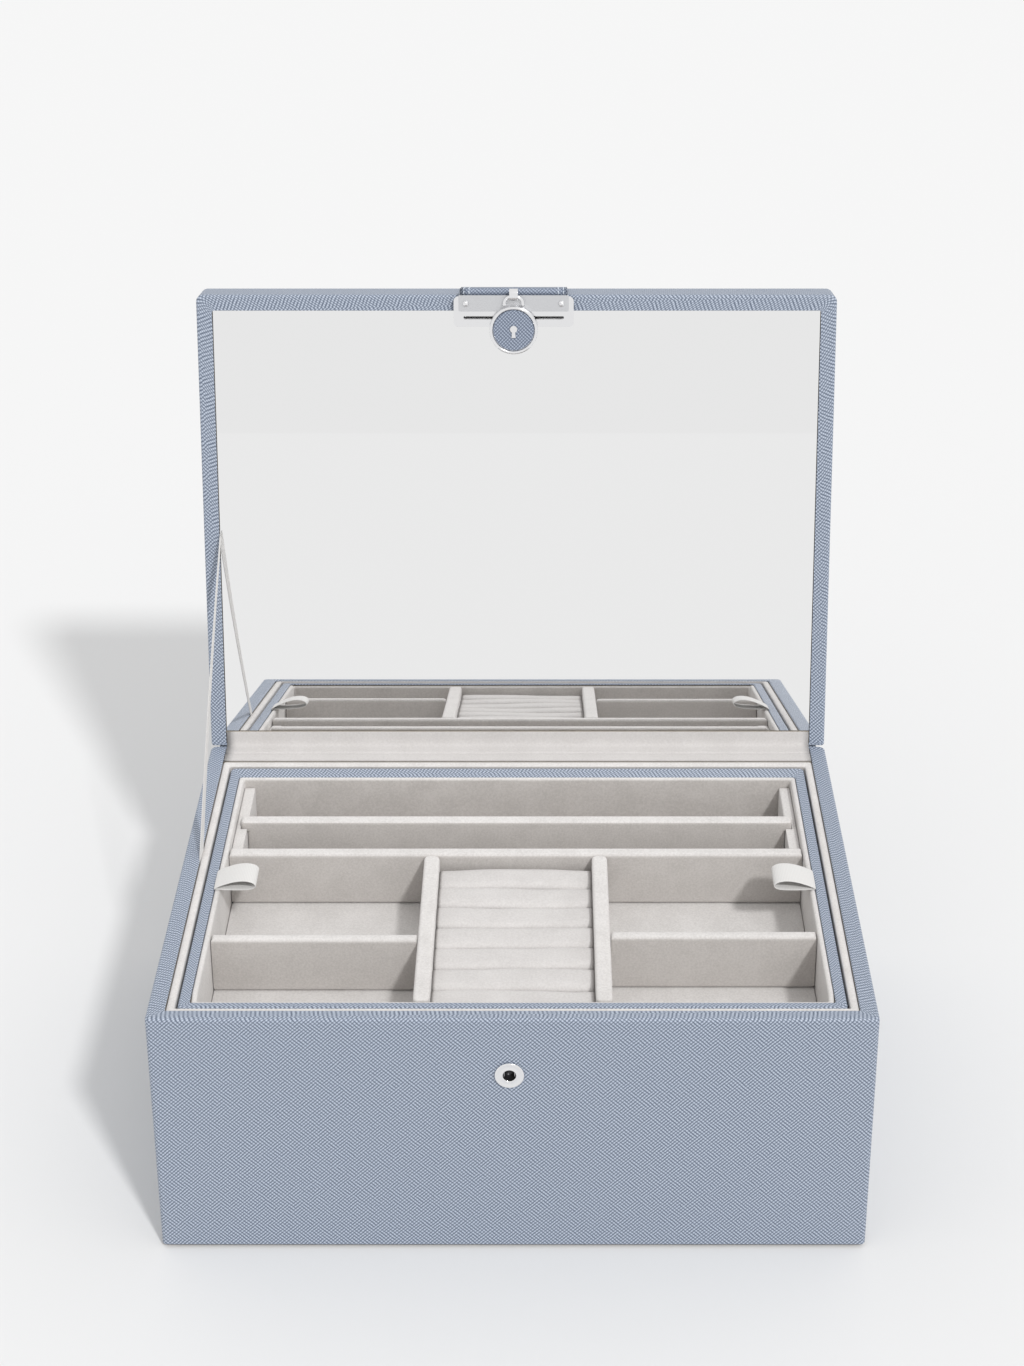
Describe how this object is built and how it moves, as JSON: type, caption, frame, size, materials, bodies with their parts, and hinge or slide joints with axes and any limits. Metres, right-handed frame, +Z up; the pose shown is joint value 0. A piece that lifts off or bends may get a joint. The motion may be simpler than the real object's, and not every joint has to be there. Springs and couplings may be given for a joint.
{
  "type": "jewelry box",
  "caption": "Leatherette jewelry box with a hinged mirror lid, a hanging snap clasp, a velvet lining and a divided tray that lifts out.",
  "frame": {"origin": "middle of the underside, on the base felt", "axes": "+Z up, +X to the right, the front with the snap socket faces -Y, the lid hinges along X at the back rim and stands open at rest"},
  "size_m": [0.3, 0.283, 0.3414],
  "materials": {
    "leatherette": "cross-grain embossed, satin",
    "velvet": "short velvet nap",
    "ribbon": "woven satin ribbon",
    "felt": "felt",
    "fibreboard": "raw board, covered",
    "mirror_glass": "silvered mirror",
    "satin_metal": "satin",
    "chrome": "bright chrome plate"
  },
  "bodies": {
    "case": {"base_felt": "felt", "case_base": "fibreboard", "case_front": "fibreboard", "case_back": "fibreboard", "case_left": "fibreboard", "case_right": "fibreboard", "case_wrap": "leatherette", "case_liner": "velvet", "floor_pad": "velvet", "ledge_left": "velvet", "ledge_right": "velvet", "hinge_strip_case": "velvet", "outer_strip_case": "leatherette", "snap_socket": "chrome", "stay_ribbon": "ribbon"},
    "lid": {"lid_wrap": "leatherette", "lid_panel": "fibreboard", "lid_frame": "fibreboard", "mirror": "mirror_glass", "mirror_backing": "fibreboard", "hinge_strip_lid": "velvet", "outer_strip_lid": "leatherette", "strap_root": "leatherette"},
    "strap": {"strap_bend": "leatherette"},
    "clasp": {"strap_flap": "leatherette", "clasp_frame": "chrome", "clasp_plate": "satin_metal", "rivet_left": "chrome", "rivet_right": "chrome", "clasp_bail": "chrome"},
    "padlock": {"padlock_case": "chrome", "padlock_inlay": "leatherette", "padlock_keyhole": "chrome", "padlock_shackle": "chrome", "snap_stud": "chrome"},
    "tray": {"cheek_left": "velvet", "cheek_right": "velvet", "column_left": "velvet", "column_right": "velvet", "front_divider_left": "velvet", "front_divider_right": "velvet", "middle_divider": "velvet", "pull_loop_left": "ribbon", "pull_loop_right": "ribbon", "ring_roll_1": "velvet", "ring_roll_2": "velvet", "ring_roll_3": "velvet", "ring_roll_4": "velvet", "ring_roll_5": "velvet", "ring_roll_6": "velvet", "ring_roll_7": "velvet", "tray_back": "fibreboard", "tray_base": "fibreboard", "tray_floor": "velvet", "tray_front": "fibreboard", "tray_left": "fibreboard", "tray_lining": "velvet", "tray_right": "fibreboard", "tray_wrap": "leatherette"},
    "rear_divider": {"rear_divider": "velvet"}
  },
  "joints": [
    {"name": "lid_hinge", "type": "hinge", "parent": "case", "child": "lid", "pos_m": [0, 0.1115, 0.118], "axis": [-1, 0, 0], "range_deg": [-100, 0], "deforming": ["stay_ribbon", "pull_loop_left", "pull_loop_right"]},
    {"name": "clasp_fold", "type": "hinge", "parent": "lid", "child": "strap", "pos_m": [0, 0.14559, 0.34473], "axis": [-1, 0, 0], "range_deg": [0, 90.5]},
    {"name": "clasp_lift", "type": "hinge", "parent": "strap", "child": "clasp", "pos_m": [0, 0.14559, 0.34473], "axis": [-1, 0, 0], "range_deg": [0, 80]},
    {"name": "padlock_swing", "type": "hinge", "parent": "clasp", "child": "padlock", "pos_m": [0, 0.14358, 0.33939], "axis": [-1, 0, 0], "range_deg": [0, 60]},
    {"name": "tray_lift", "type": "slide", "parent": "case", "child": "tray", "axis": [0, 0, 1], "range_m": [0, 0.15]},
    {"name": "rear_divider_lift", "type": "slide", "parent": "tray", "child": "rear_divider", "axis": [0, 0, 1], "range_m": [0, 0.06]}
  ],
  "couplings": [
    {"joint": "clasp_fold", "follows": "lid_hinge", "ratio": -0.9}
  ]
}
